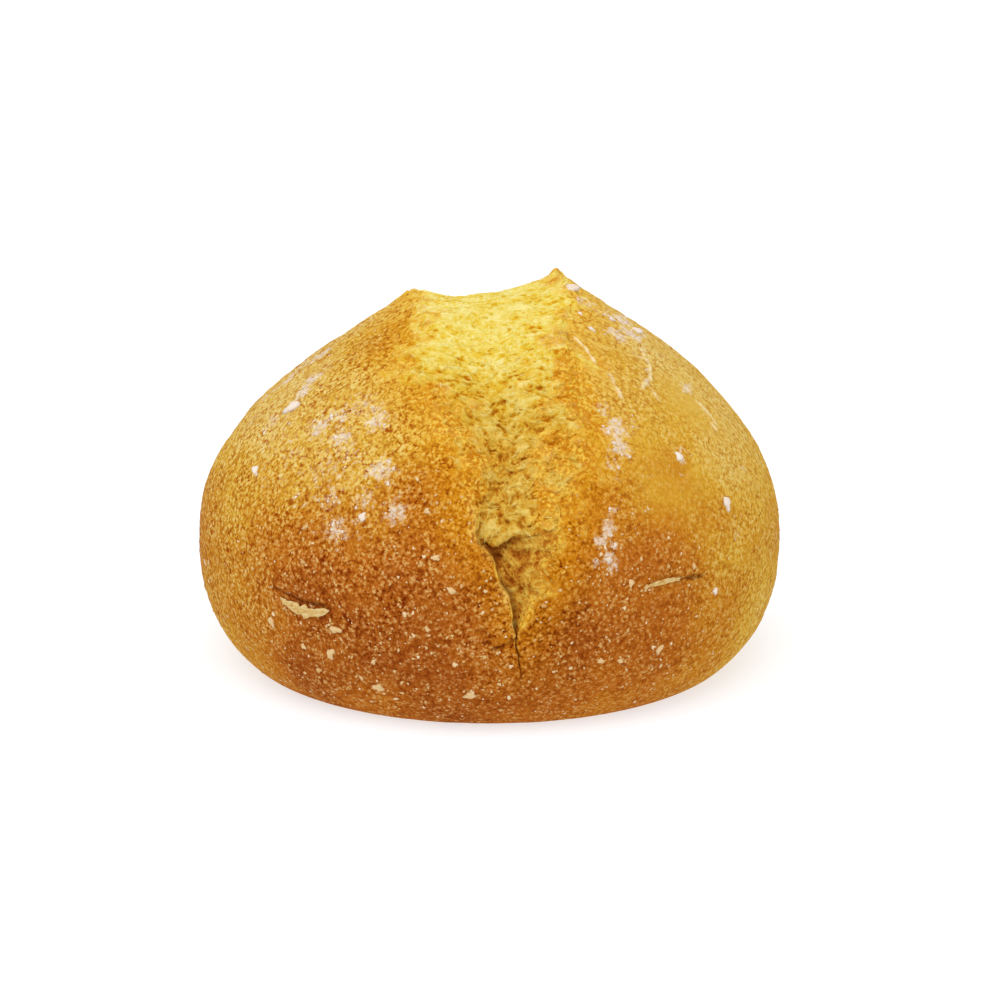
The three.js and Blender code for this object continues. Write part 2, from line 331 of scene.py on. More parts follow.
# Where the crumb between the lips is toasted: turn, side, radius and share, and by how near the lips are.
TOASTED = [
    (37, -11, 4, -0.3), (7, 14, 5, -0.5), (45, -11, 2, 0.6), (54, -11, 3, 0.5), (34, 15.5, 2, 0.7),
    (46, 17.5, 2.5, 0.6), (57, 11.5, 2.5, 0.7), (61, 9, 2, 0.5),
]
TOAST_BEGINS = -7.5
TOAST_BEGINS_SHARP = -1.0
TOAST_FULL = 1.5
TUFTS = Noise(3.6, 77, 3, 0.9)
TUFT_FROM_LIP = (-13, -3)
FRESH_TOP = Change(0.45, *angles(45, 12))
FRESH_WALL = 0.8

# Where the crust's colour ends by the split, and how far it has peeled back.
EDGE_WAVES = Noise(3.0, 50, 3)
EDGE_BLUR = 3.6
SHARP_EDGE_BLUR = 0.35
NARROW_EDGE_BLUR = 0.5
EDGE_RAGGED = 1.4
OPEN_SHARES = (0.0, 0.08)
PEELED_LEFT = 2.0
PEELED_RIGHT = 3.5
PEELED_TURN = 38 * DEG
PEELED_LENGTH = 24 * DEG

# The painted shade in the gap under the sharp lip, the lip's pale rim, the painted shade in the crack and
# under the ledge, and the crumb that is tan lower down.
GAP_SHADE_WIDTH = 0.6
GAP_SHADE_TURNS = angles(72, 79)
GAP_SHADE_MIDDLE = 0.8
RIM_FROM_LIP = 0.4
RIM_SPREAD = 0.7
RIM_MIDDLE = 0.4
RIM_RAGGED = 1.4
CRACK_SHADE = Change(0.1, 0.05, 0.01)
UNDER_LEDGE_SHADE = 0.4
TAN_FRONT = Change(0.8, *angles(24, 66))
TAN_WALL = 0.6

# Pale flecks of bran on the crust, by a rule and the largest as listed: turn, side and radius.
SEED = 7
BRAN_LISTED = [
    (71, -12, 0.55), (80, -10, 0.55), (86, -7, 0.5), (86, -1, 0.35), (97, -30, 0.7), (101, -46, 0.65),
    (103, -31, 0.8), (104, -38, 0.55), (108, -4, 0.75), (109, -21, 0.85), (102, 21, 0.5), (103, 25, 0.5),
    (103, 34, 0.6), (86, 27, 0.5),
]
BRAN = Specks(BRAN_LISTED, count=1900, radius=0.15, spread=0.4, longest=1.8, height_share=0.4)
BRAN_LISTED_TONE = 0.55
BRAN_TONE_POWERS = (1.6, 2.4)
BRAN_BROWNING = (0.3, 1.0)

# Grains of flour where it lies thick, and the largest lumps as listed: turn, side and radius.
GRAINS_LISTED = [
    (33, -47.5, 1.35), (55, -55, 0.8), (72, -25, 0.7), (3, 36, 1.0), (55, 42, 0.8), (67, 54, 1.0),
    (1, 18.5, 1.1), (12, 21, 0.5), (17, 24, 0.6), (6, 29, 0.7), (93, 48.5, 0.6),
]
GRAINS = Specks(GRAINS_LISTED, count=600, radius=0.17, spread=0.4, longest=1.3, height_share=0.35)
LISTED_TONES = (0.6, 1)
GRAIN_TONES = (0, 0.8)
GRAIN_FLOUR = (0.2, 1.0)

# The form of a fleck or grain: how wide and high its rings are, and the waves round its outline.
SPECK_FROM_LIP = 1
SPECK_HEIGHTS = (1, 4)
LUMP_LEVELS = [(1.0, -0.3), (0.7, 0.8)]
LUMP_WAVES = [(2, 0.12), (3, 0.2), (4, 0.12), (5, 0.12)]
LUMP_SIDES = 12
LUMP_POINTS = len(LUMP_LEVELS) * LUMP_SIDES + 1

# Torn threads that lie on the crumb, fewer of them on top.
STRANDS = 280
STRAND_LENGTH = (0.8, 2.6)
STRAND_THICKNESS = (0.05, 0.1)
STRAND_HEADING = 0.7
STRAND_ARCH = (0.1, 0.22)
STRAND_SUNK = 0.1
STRAND_BEND = 0.2
STRAND_TIP = 0.1
STRAND_STEPS = 7
STRAND_SIDES = 3
STRAND_BARE_TURN = 5 * DEG
STRAND_TURNS = angles(18, 40)

# Slivers of crust that peel off: the turn and side of both ends, width, bow and how far they stand off.
FLAKES = [
    ((92.6, -43.0), (92.8, -31.2), 2.2, 1.6, 0.6),
    ((87.4, 30.0), (86.8, 39.2), 1.0, -0.5, 0.6),
]
FLAKE_THICKNESS = 0.3
FLAKE_END_THICKNESS = 0.3
FLAKE_STEPS = (40, 7)
FLAKE_BLUNTNESS = 0.7
FLAKE_EDGES = Noise((1 / 6, 1, 1), 0, 3, 0.5)
FLAKE_TIP = 0.02
FLAKE_LOWER_STAND = 0.25
FLAKE_CURLS = Noise(1.1, 40, height=0.18)

# Rows of points round the roll and columns across it.
FRONT_ROWS = 460
BACK_ROWS = 230
UNDER_ROWS = 110
UPPER_TURN = 115 * DEG
CRUST_COLUMNS = 106
CRUMB_COLUMNS = 138
CRUST_EASING = 1.6
UNDERSIDE_SPLIT_HALF = 13 * DEG
UNDERSIDE_TURNS = angles(104, 135)

# The camera looks down at the roll through a long lens. The roll takes up this part of the image's pixels.
CAMERA_ELEVATION = 16 * DEG
CAMERA_DISTANCE = 600
CAMERA_AIM = (1.12, 0, 27.4)
PHOTO_PIXELS = 992
ROLL_PIXELS = 579
IMAGE_WIDTH = PHOTO_PIXELS * WIDTH / ROLL_PIXELS
SENSOR_WIDTH = 36

# Soft light from all round, a broad soft key from above the front, and a floor that glows, in metres.
SKY_STRENGTH = 0.7
KEY_STRENGTH = 1.65
KEY_SOFTNESS = 50 * DEG
KEY_TILT = angles(25, -6, 0)
FLOOR_GLOW = 0.66
FLOOR_ROUGHNESS = 0.9
FLOOR_REACH = 4.0
WHITE = (1, 1, 1, 1)

# How far light gets into the bread, from 0 to 1.
CRUST_SOFTNESS = 0.15
CRUMB_SOFTNESS = 0.2
LIGHT_REACH = 1.0
LIGHT_REACH_BY_COLOUR = (1.0, 0.6, 0.25)

# Each surface's depth of relief, roughness and gloss.
BREAD_FINISH = (0.17, 0.8, 0.02)
SPECK_FINISH = (0.1, 0.8, 0.1)
FLAKE_FINISH = (0.25, 0.7, 0.1)

# Colours as a screen shows them, by how baked the crust is or how deep in a pocket the crumb is.
CRUST_BASE = [(0.0, (214, 180, 90)), (0.35, (209, 162, 50)), (0.6, (194, 128, 30)), (0.82, (181, 104, 27)),
              (1.0, (161, 84, 22))]
CRUST_PALE = [(0.0, (228, 213, 152)), (0.4, (224, 200, 124)), (1.0, (210, 168, 104))]
CRUST_DARK = [(0.0, (168, 80, 6)), (0.5, (142, 54, 4)), (1.0, (98, 27, 2))]
LIP_BASE = [(0.0, (224, 178, 56)), (0.4, (208, 143, 16)), (1.0, (196, 121, 12))]
LIP_PALE = [(0.0, (234, 204, 96)), (0.4, (224, 180, 60)), (1.0, (216, 164, 66))]
CRUMB_UPPER = [(0.0, (236, 222, 146)), (0.33, (228, 206, 104)), (0.57, (222, 189, 58)), (0.8, (214, 162, 30)),
               (1.0, (198, 122, 14))]
CRUMB_LOWER = [(0.0, (222, 190, 100)), (0.33, (206, 164, 68)), (0.57, (192, 136, 42)), (0.8, (172, 104, 28)),
               (1.0, (144, 74, 12))]
TOAST_TONES = [(0.35, (192, 112, 14)), (0.5, (212, 148, 30)), (0.65, (230, 190, 76))]
BRAN_COLOURS = [(0.0, (196, 142, 72)), (0.45, (215, 178, 120)), (1.0, (236, 215, 178))]
STRAND_TONES = [(0.0, (206, 156, 52)), (0.5, (230, 196, 84)), (1.0, (246, 226, 140))]
FLOUR_TONES = [(0.0, (212, 184, 154)), (1.0, (236, 224, 212))]
FLOUR_DUST_TONES = [(0.3, (226, 200, 140)), (1.0, (232, 220, 206))]
FLAKE_TONES = [(0.25, (176, 122, 60)), (0.42, (208, 168, 94)), (0.65, (228, 204, 148))]
RIM_COLOUR = (238, 200, 100)
THREAD_COLOUR = (240, 222, 176)
SHADE_COLOUR = (104, 54, 16)
FLOOR_COLOUR = (172, 174, 178)

# Grain in the materials, as its size, detail and roughness, and how it is stretched.
FULL_DETAIL = (3.0, 0.6)
SOME_DETAIL = (2.0, 0.5)
NO_STRETCH = (1, 1, 1)
SAND_SIZE = 0.9
SAND_BLUR = (0.45, 1.0, 0.5)
SAND_BLUR_SHARE = 0.6
SAND_ROUND_SHARE = 0.4
SAND_LEVEL = 0.69
SINGLE_GRAIN_SIZE = 0.4
SINGLE_GRAIN_SHARE = 0.36
LEVEL_FIBRES = (1.3, (0.5, 1, 1))
UPRIGHT_FIBRES = (1.0, (1, 0.6, 0.6))
FIBRE_HALF = 0.11
PORE_SIZE = 1.5
PORE_EDGES = (0.2, 0.5)
PORE_CHOICE = (0.5, 0.62)
STREAKS = (1.1, 2.5, 0.55, (0.6, 1, 1))
MOTTLING = (3.4, *SOME_DETAIL)
FLOUR_GRAIN = (0.75, *FULL_DETAIL)
FLAKE_GRAIN = (0.5, *FULL_DETAIL, (0.3, 1, 1.5))
SPECK_GRAIN_SIZE = 0.4
STRAND_GRAIN_SIZE = 0.6
SPECK_GRAIN_SHARE = 0.6

# How the crust's colour changes: patches by size and share, then the grain's pale crumbs and dark gaps.
BAKED_PATCHES = [(9.0, 0.32), (2.6, 0.14)]
LIP_GOLD = 0.85
CONTRAST_SIZE = 5.0
CONTRAST_LEVELS = (0.3, 0.7)
CONTRASTS = (0.6, 1.0)
SMOOTH_CONTRAST_LOSS = 0.75
PALE_BEGINS = (0.49, 0.54)
PALE_SPAN = 0.24
DARK_LEVELS = (0.52, 0.25)

# How deep the crumb looks by streaks, mottling, fibres and pores, and what covers it. Streaks and mottling
# are its own tone; pale fibres are painted light and darker pores painted shade.
DEPTH_WEIGHTS = (-0.6, 1.5, -0.45, 0.5)
DEPTHS = (-0.19, 1.31)
TOAST_GRAIN_SHARE = 1.6
TOAST_LEVELS = (0.1, 0.9)
FULL_TOAST = 0.85
HALF_WAY = 4.0
EDGE_GRAIN_SHARE = 1.6
EDGE_LEVELS = (0.3, 0.8)
FLOUR_GRAIN_SHARE = 2.4
FLOUR_LEVELS = (0.2, 1.0)
FULL_FLOUR = 0.66
FLOUR_END_LEVELS = (0.03, 0.25)
RIM_LEVELS = (0.38, 0.6)
RIM_SHARES = (0.15, 0.6)
FULL_THREAD = 0.85
FULL_SHADE = 0.75
FIBRE_RELIEF = 0.5
PORE_RELIEF = 0.8
SAND_RELIEF = 1.5
SAND_RELIEF_START = -0.25


def bell(distance, spread):
    return np.exp(-((distance / spread) ** 2))


def cusp(distance, spread):
    """A bell with a pointed top."""
    return np.exp(-((np.abs(distance) / spread) ** EAR_SHARPNESS))


def mix(first, second, share):
    return first + (second - first) * share


def waves_along(distance, length, start):
    """Random waves along a line, for each distance on it."""
    places = np.stack([distance / length, np.full_like(distance, start), np.zeros_like(distance)], axis=-1)
    return LINE_WAVES.at(places)


def direction_of(turn, side):
    outward = np.cos(side)
    return np.stack([np.sin(side) + 0 * turn, -outward * np.sin(turn), outward * np.cos(turn)], axis=-1)


def curve_reach(level_share, upright_share, power):
    return (level_share**power + upright_share**power) ** (-1 / power)


def body_reach(direction):
    level = np.hypot(direction[..., 0] / (WIDTH / 2), direction[..., 1] / (LENGTH / 2))
    rising = direction[..., 2]
    down = np.maximum(-rising, TINY)
    dome = curve_reach(level, np.maximum(rising, 0) / DOME_RISE, DOME_POWER)
    underside = curve_reach(level, down / UNDERSIDE_DROP, UNDERSIDE_POWER)
    bottom = (BELLY_HEIGHT + BASE_TRIM) / down
    overlap = np.maximum(BASE_ROUNDING - np.abs(underside - bottom), 0)
    lower = np.minimum(underside, bottom) - overlap**2 / (4 * BASE_ROUNDING)
    return np.where(rising >= 0, dome, lower)


def body_point(turn, side):
    direction = direction_of(turn, side)
    return direction * body_reach(direction)[..., None] + np.array([0, 0, BELLY_HEIGHT])


def listed_point(turn, side):
    return body_point(np.float64(turn * DEG), np.float64(side * DEG))


def distance_to(points, turn, side):
    return np.linalg.norm(points - listed_point(turn, side), axis=-1)


def patch_sum(points, patches):
    """The sum of soft round patches, each listed as turn, side, radius and share."""
    total = 0
    for turn, side, radius, share in patches:
        total = total + share * bell(distance_to(points, turn, side), radius)
    return total


def end_turn(turn):
    return np.where(turn > 0, FRONT_END, BACK_END)


def openness(turn):
    return np.maximum(0, 1 - np.abs(turn / end_turn(turn)) ** TAPER_POWER)


def crack_fade(turn):
    end = end_turn(turn)
    return rise(np.abs(turn), end + CRACK_LENGTH, end)


def ragged_line(turn, start):
    """A wandering line of small tears along a lip, as an angle for each turn."""
    return RAGGED * waves_along(turn * MEAN_REACH, RAGGED_LENGTH, start) * crack_fade(turn)


def split_edges(turn):
    """The angles of the left and right lip for each turn."""
    free = np.sqrt(openness(turn))
    middle = FRONT_DRIFT.at(turn) + BACK_DRIFT.at(-turn)
    middle = middle + WOBBLE * np.sin(MIDDLE_WOBBLES * turn) * free
    middle = middle + RAGGED_CRACK_SHARE * ragged_line(turn, CRACK_START)
    middle = middle - CRACK_WANDER * bell(np.abs(turn) - CRACK_WANDER_TURN, CRACK_WANDER_LENGTH)
    open_half = SPLIT_HALF + WOBBLE * np.sin(WIDTH_WOBBLES * turn + WIDTH_WOBBLE_START)
    half = np.maximum(open_half * openness(turn), CRACK_HALF)
    left = middle - half + ragged_line(turn, LEFT_START) * free
    for bend_turn, length, angle in LEFT_BENDS:
        left = left + angle * bell(turn - bend_turn, length)
    right = middle + half + ragged_line(turn, RIGHT_START) * free
    return left, right


def lip_heights(turn, lip):
    plain, ear = lip
    steepness = mix(STEEP_LIP_SHARE, 1, np.maximum(0, np.cos(turn)))
    return plain * steepness * openness(turn), ear * bell(turn - EAR_TURN, EAR_LENGTH)


def ledge_edge(side):
    """The turn at which the crumb breaks off, for each side."""
    ragged = LEDGE_RAGGED * waves_along(side * MEAN_REACH, LEDGE_RAGGED_LENGTH, LEDGE_START)
    return LEDGE_TURN + LEDGE_TILT * side + ragged


def wall_share(below_ledge):
    return rise(below_ledge, -LEDGE_BLUR, LEDGE_BLUR)


def crumb_depth(turn, below_ledge):
    end_sag = np.where(turn > 0, FRONT_SAG, BACK_SAG)
    sag = mix(TOP_SAG, end_sag, rise(np.abs(turn), *SAG_TURNS))
    narrowing = mix(NARROW_SAG_SHARE, 1, openness(turn))
    return (sag + LEDGE_DROP * wall_share(below_ledge)) * narrowing * crack_fade(turn)


def overhang_at(turn, half_width):
    growth = rise(turn, *OVERHANG_TURNS) * np.sqrt(openness(turn))
    return OVERHANG_SHARE * half_width * growth


def crust_relief(turn, across, half_width):
    """How far the crust is raised, and how far it is moved to the right."""
    is_left = across < 0
    left_plain, left_ear = lip_heights(turn, LEFT_LIP)
    right_plain, right_ear = lip_heights(turn, RIGHT_LIP)
    plain = np.where(is_left, left_plain, right_plain)
    ear = np.where(is_left, left_ear, right_ear)
    away = np.maximum(0, np.abs(across) - 1) * half_width
    slope = np.maximum(0, 1 - away / LIP_SPREAD) ** 2
    height = plain * slope + ear * cusp(away, EAR_SPREAD)
    shift = np.where(is_left, overhang_at(turn, half_width) * bell(away, OVERHANG_SPREAD), 0)
    return height, shift


def crumb_relief(turn, across, half_width, below_ledge):
    """How far the crumb is raised, and how far it is moved to the right."""
    left_plain, left_ear = lip_heights(turn, LEFT_LIP)
    right_plain, right_ear = lip_heights(turn, RIGHT_LIP)
    skew = mix(TOP_SKEW, FRONT_SKEW, rise(turn, *SKEW_TURNS))
    is_left = across < skew
    descent = np.where(is_left, (across + 1) / (skew + 1), (1 - across) / (1 - skew))
    descent = np.clip(descent, 0, 1)
    gentle = (1 - np.cos(descent * np.pi)) / 2
    steep = mix(gentle, np.sin(descent * np.pi / 2), rise(turn, *STEEP_TURNS))
    sag = np.where(is_left, steep, gentle)
    ears = left_ear * cusp((1 + across) * half_width, EAR_INNER_SPREAD)
    ears = ears + right_ear * cusp((1 - across) * half_width, EAR_INNER_SPREAD)
    lip_line = mix(left_plain, right_plain, (across + 1) / 2) + ears
    height = lip_line - crumb_depth(turn, below_ledge) * sag
    shift = np.where(is_left, overhang_at(turn, half_width) * (1 - descent) ** 2, 0)
    return height, shift


def torn_relief(turn, along, below_ledge):
    """The torn crumb: its height, how far its crests hang down, and how deep in a pocket each point is, which
    sets its painted shade.
    """
    flat = np.stack([along, turn * MEAN_REACH, np.zeros_like(turn)], axis=-1)
    swirl = np.stack([SWIRLS_ACROSS.at(flat), SWIRLS_DOWN.at(flat), 0 * turn], axis=-1)
    deep = rise(np.abs(turn), *DEEP_TURNS) * (1 - WALL_SHALLOWNESS * wall_share(below_ledge))
    swell = SWELLS.at(flat)
    fuzz = FUZZ.at(flat)
    pocket = rise(POCKETS.at(flat + swirl) - POCKET_SWELL_SHARE * swell, *POCKET_LEVELS)
    pocket = pocket * mix(SHALLOW_POCKETS, 1, deep)
    slit = rise(SLITS.at(flat + swirl), *SLIT_LEVELS) * mix(SHALLOW_SLITS, 1, deep)
    membrane = rise(np.abs(MEMBRANES.at(flat + swirl)), *MEMBRANE_LEVELS)
    height = SWELL_HEIGHT * swell + FUZZ_HEIGHT * fuzz + TORN_LIFT * deep
    height = height + MEMBRANE_HEIGHT * membrane * mix(SHALLOW_MEMBRANES, 1, deep)
    height = height - POCKET_DEPTH * pocket - SLIT_DEPTH * slit
    shelf = rise(below_ledge, -LEDGE_LIP_REACH, 0) * rise(below_ledge, LEDGE_BLUR, 0)
    hang = HANG * deep * (1 - pocket) + LEDGE_LIP * shelf
    pit_shade = PIT_BASE
    for part, weight in zip([deep, pocket, slit, membrane, fuzz], PIT_WEIGHTS):
        pit_shade = pit_shade + weight * part
    for hole_turn, hole_side, half_width, half_height, depth in HOLES:
        middle = np.array([hole_side, hole_turn, 0]) * DEG * MEAN_REACH
        away = (flat + HOLE_SWIRL * swirl - middle) / (half_width, half_height, 1)
        hole = bell(np.linalg.norm(away, axis=-1), 1)
        height = height - depth * hole
        pit_shade = np.maximum(pit_shade, HOLE_PIT * hole)
    return height, hang, np.clip(pit_shade, 0, 1)


def distance_to_line(points, start, end):
    """How far each point is from the line between two places, made uneven close to it."""
    first = listed_point(*start)
    run = listed_point(*end) - first
    share = np.clip((points - first) @ run / (run @ run), 0, 1)
    away = np.linalg.norm(points - first - share[..., None] * run, axis=-1)
    close = away < LINE_REACH
    away[close] += LINE_EDGES.at(points[close])
    return np.maximum(away, 0)


def furrow_depths(points):
    """How deep the furrows are at each point, and the painted shade in them there, from 0 to 1."""
    depth = np.zeros(points.shape[:-1])
    dark = np.zeros(points.shape[:-1])
    for start, end, deepest, half_width, most_shade in FURROWS:
        groove = bell(distance_to_line(points, start, end), half_width)
        depth = np.maximum(depth, deepest * groove)
        dark = np.maximum(dark, most_shade * groove)
    return depth, dark


def thread_share(points):
    """How near each point is to a drawn-up thread of skin, from 0 to 1."""
    total = np.zeros(points.shape[:-1])
    for places in THREADS:
        for start, end in zip(places, places[1:]):
            total = np.maximum(total, bell(distance_to_line(points, start, end), THREAD_HALF))
    return total


class Skin:
    """The roll's surface at given turns and sides: its points in millimetres, and what they are like."""

    def __init__(self, turn, side):
        left, right = split_edges(turn)
        split_half = (right - left) / 2
        self.across = (side - (left + right) / 2) / split_half
        self.turn = turn + 0 * side
        self.side = side + 0 * turn
        self.body = body_point(self.turn, self.side)
        reach = np.linalg.norm(self.body - np.array([0, 0, BELLY_HEIGHT]), axis=-1)
        self.half_width = split_half * reach
        self.from_lip = (np.abs(self.across) - 1) * self.half_width
        self.is_crumb = self.from_lip < 0
        self.outward = direction_of(self.turn, self.side)
        self.shape(reach)

    def shape(self, reach):
        """Finds the points from the body, the split, the tears and the crust's roughness."""
        near = (self.from_lip < FRAY_REACH) & (np.abs(self.turn) < FRONT_END)
        below_ledge = np.full(self.turn.shape, -1.0)
        below_ledge[near] = self.turn[near] - ledge_edge(self.side[near])
        inside = np.clip(self.across, -1, 1)
        crust_height, crust_shift = crust_relief(self.turn, self.across, self.half_width)
        crumb_height, crumb_shift = crumb_relief(self.turn, inside, self.half_width, below_ledge)
        height = np.where(self.is_crumb, crumb_height, crust_height) + patch_sum(self.body, BULGES)
        shift = np.where(self.is_crumb, crumb_shift, crust_shift)
        torn = np.zeros((3, *self.turn.shape))
        torn[:, near] = torn_relief(self.turn[near], (self.side * reach)[near], below_ledge[near])
        torn_height, hang, pit_shade = torn
        self.tear(below_ledge, pit_shade)
        height = height + self.torn * torn_height + self.roughness()
        down = np.stack([0 * self.turn, -np.cos(self.turn), -np.sin(self.turn)], axis=-1)
        down = down * np.sign(self.turn)[..., None]
        rightward = direction_of(self.turn, self.side + np.pi / 2)
        points = self.body + self.outward * height[..., None] + rightward * shift[..., None]
        points = points + down * (self.torn * hang)[..., None]
        points[..., 2] = np.maximum(points[..., 2], 0)
        self.points = points

    def tear(self, below_ledge, pit_shade):
        """Finds how torn each point is, how far on the wall under the ledge, and how deep in a pocket, with
        painted shade added under the sharp lip and under the ledge.
        """
        self.sharp_lip = rise(self.turn, *SHARP_LIP_TURNS) * (self.across < 0)
        fray = mix(FRAY, SHARP_FRAY, self.sharp_lip)
        frayed = rise(self.from_lip, fray, -FRAY_INNER_SHARE * fray)
        self.torn = frayed * rise(self.half_width, *FRAY_HALF_WIDTHS)
        self.wall = wall_share(below_ledge) * rise(-self.from_lip, *WALL_INSIDE)
        under_lip = self.sharp_lip * self.is_crumb * bell(self.from_lip, UNDER_LIP_SPREAD)
        under_ledge = bell(below_ledge - UNDER_LEDGE_TURN, UNDER_LEDGE_SPREAD) * self.is_crumb
        under_ledge = under_ledge * rise(-self.from_lip, *UNDER_LEDGE_INSIDE)
        self.under_ledge = under_ledge * (1 - UNDER_LEDGE_LOSS.at(self.side))
        # Painted shade: the crumb under the sharp lip and under the ledge counts as deeper, so it is painted
        # darker; the wall is made darker too.
        pit_shade = pit_shade + WALL_PIT * self.wall + UNDER_LIP_PAINTED_SHADE * under_lip + UNDER_LEDGE_PAINTED_SHADE * self.under_ledge
        self.pit_shade = np.clip(pit_shade, 0, 1)

    def roughness(self):
        """The height of the crust's dents, furrows and threads of skin, and of the jags along its lips."""
        share = np.clip(1 - self.torn, 0, 1) * rise(self.body[..., 2], *ROUGH_HEIGHTS)
        dents = DENTS.at(self.body) + FINE_DENTS.at(self.body)
        crest = bell(self.from_lip, CREST_SPREAD) * rise(np.abs(self.turn), *CREST_END_TURNS)
        # The furrows' depth, and in self.furrow the painted shade in them.
        furrow, self.furrow = furrow_depths(self.body)
        self.thread = thread_share(self.body)
        return crest * JAGS.at(self.body) + share * (dents - furrow + THREAD_HEIGHT * self.thread)


def turns():
    """The turn of each row of points, closest together on the front and the top."""
    front = np.linspace(0, UPPER_TURN, FRONT_ROWS, endpoint=False)
    under = np.linspace(UPPER_TURN, 2 * np.pi - UPPER_TURN, UNDER_ROWS, endpoint=False)
    under = np.where(under > np.pi, under - 2 * np.pi, under)
    back = np.linspace(-UPPER_TURN, 0, BACK_ROWS, endpoint=False)
    return np.concatenate([front, under, back])[:, None]


def sides_at(turn):
    """The side of each column of points in each row: crust, crumb and crust."""
    left, right = split_edges(turn)
    underneath = rise(np.abs(turn), *UNDERSIDE_TURNS)
    left = mix(left, -UNDERSIDE_SPLIT_HALF, underneath)
    right = mix(right, UNDERSIDE_SPLIT_HALF, underneath)
    easing = (1 - np.linspace(0, 1, CRUST_COLUMNS + 1)[None, :]) ** CRUST_EASING
    steps = np.linspace(0, 1, CRUMB_COLUMNS + 1)[None, 1:-1]
    columns = [mix(left, -np.pi / 2, easing), mix(left, right, steps), mix(right, np.pi / 2, easing)[:, ::-1]]
    return np.concatenate(columns, axis=1)


def flour_thickness(skin):
    """Flour by the patches listed, and a thin dusting over the upper crust."""
    dust = DUST_THICKNESS.at(skin.body[..., 2]) * (DUST_MIDDLE + DUST.at(skin.body))
    dust = dust * (1 - DUST_RIGHT_LOSS.at(skin.side)) * rise(skin.from_lip, *DUST_FROM_LIP)
    uneven = 1 + FLOUR_EDGES.at(skin.body)
    for turn, side, radius, thickness in FLOUR:
        dust = np.maximum(dust, thickness * bell(distance_to(skin.body, turn, side) * uneven, radius))
    return np.clip(dust, 0, 1) * rise(skin.from_lip, *FLOUR_FROM_LIP)


def browning_of(skin):
    """How dark the crust is baked: least on top and at the sides, most round the belly."""
    height = skin.body[..., 2]
    brown = np.interp(height, BROWN_HEIGHTS, BROWN_SHARES)
    brown = brown - LOW_RIGHT_LOSS.at(skin.side) * rise(height, *LOW_HEIGHTS)
    far = 1 - FAR_RETURN.at(np.abs(skin.side))
    brown = brown * (1 - far * LEFT_LOSS.at(-skin.side)) * (1 - far * RIGHT_LOSS.at(skin.side))
    brown = brown + patch_sum(skin.body, BROWN_PATCHES) + BLOTCHES.at(skin.body)
    return np.clip(brown, 0, 1)


def lip_share(skin):
    """How near the crust is to where it tore, which left it golden rather than brown."""
    is_left = skin.across < 0
    left_reach = mix(GOLD_LEFT, GOLD_LOW_LEFT, rise(skin.turn, *GOLD_LOW_TURNS))
    strength = (1 - GOLD_LEFT_LOSS.at(skin.turn) * is_left) * rise(np.abs(skin.turn), *GOLD_END_TURNS)
    return strength * bell(np.maximum(skin.from_lip, 0), np.where(is_left, left_reach, GOLD_RIGHT))


def smooth_share(skin):
    """How smooth the crust is, from 0 to 1."""
    base = rise(skin.body[..., 2], *SMOOTH_BASE_HEIGHTS)
    total = PARTLY_SMOOTH * np.maximum(base, rise(skin.side, *SMOOTH_RIGHT_SIDES))
    for turn, side, radius in SMOOTH:
        total = np.maximum(total, bell(distance_to(skin.body, turn, side), radius))
    return total


def toasting_of(skin):
    """How toasted the crumb is: most by the lips, in ragged tufts, and little on the wall under the ledge."""
    tufts = TUFTS.at(skin.body) * rise(skin.from_lip, *TUFT_FROM_LIP)
    by_lip = rise(skin.from_lip, mix(TOAST_BEGINS, TOAST_BEGINS_SHARP, skin.sharp_lip), TOAST_FULL)
    toasted = by_lip + tufts - FRESH_TOP.at(np.abs(skin.turn)) + patch_sum(skin.body, TOASTED)
    return np.clip(toasted, 0, 1) * (1 - FRESH_WALL * skin.wall)


def masks_of(skin):
    """What the material needs to know at each point, each as a share from 0 to 1."""
    is_left = skin.across < 0
    opened = openness(skin.turn)
    open_share = rise(opened, *OPEN_SHARES)
    ragged = EDGE_WAVES.at(skin.body)
    blur = np.minimum(mix(EDGE_BLUR, SHARP_EDGE_BLUR, skin.sharp_lip), NARROW_EDGE_BLUR * skin.half_width)
    peeled = np.where(is_left, PEELED_LEFT, PEELED_RIGHT) * bell(skin.turn - PEELED_TURN, PEELED_LENGTH)
    crust = rise(skin.from_lip - peeled + EDGE_RAGGED * blur * ragged, -blur, blur)
    # Painted shade in the gap under the sharp lip, in the crack, in the furrows and under the ledge.
    gap_shade = bell(skin.from_lip + GAP_SHADE_WIDTH, GAP_SHADE_WIDTH) * is_left * skin.is_crumb
    gap_shade = gap_shade * rise(skin.turn, *GAP_SHADE_TURNS) * np.clip(GAP_SHADE_MIDDLE + ragged, 0, 1)
    crack = CRACK_SHADE.at(opened) * skin.is_crumb
    dark = np.maximum(np.maximum(gap_shade, crack) * crack_fade(skin.turn), skin.furrow)
    rim = open_share * skin.sharp_lip * bell(skin.from_lip - RIM_FROM_LIP, RIM_SPREAD)
    return {
        "crust": np.maximum(crust, 1 - open_share),
        "browning": browning_of(skin),
        "pit_shade": skin.pit_shade,
        "lip": lip_share(skin),
        "smooth": smooth_share(skin),
        "toast": toasting_of(skin),
        "rim": rim * np.clip(RIM_MIDDLE + RIM_RAGGED * ragged, 0, 1),
        "thread": skin.thread,
        "tan": TAN_FRONT.at(skin.turn) + TAN_WALL * skin.wall,
        "shade": dark + UNDER_LEDGE_SHADE * skin.under_ledge,
        "flour": flour_thickness(skin),
    }


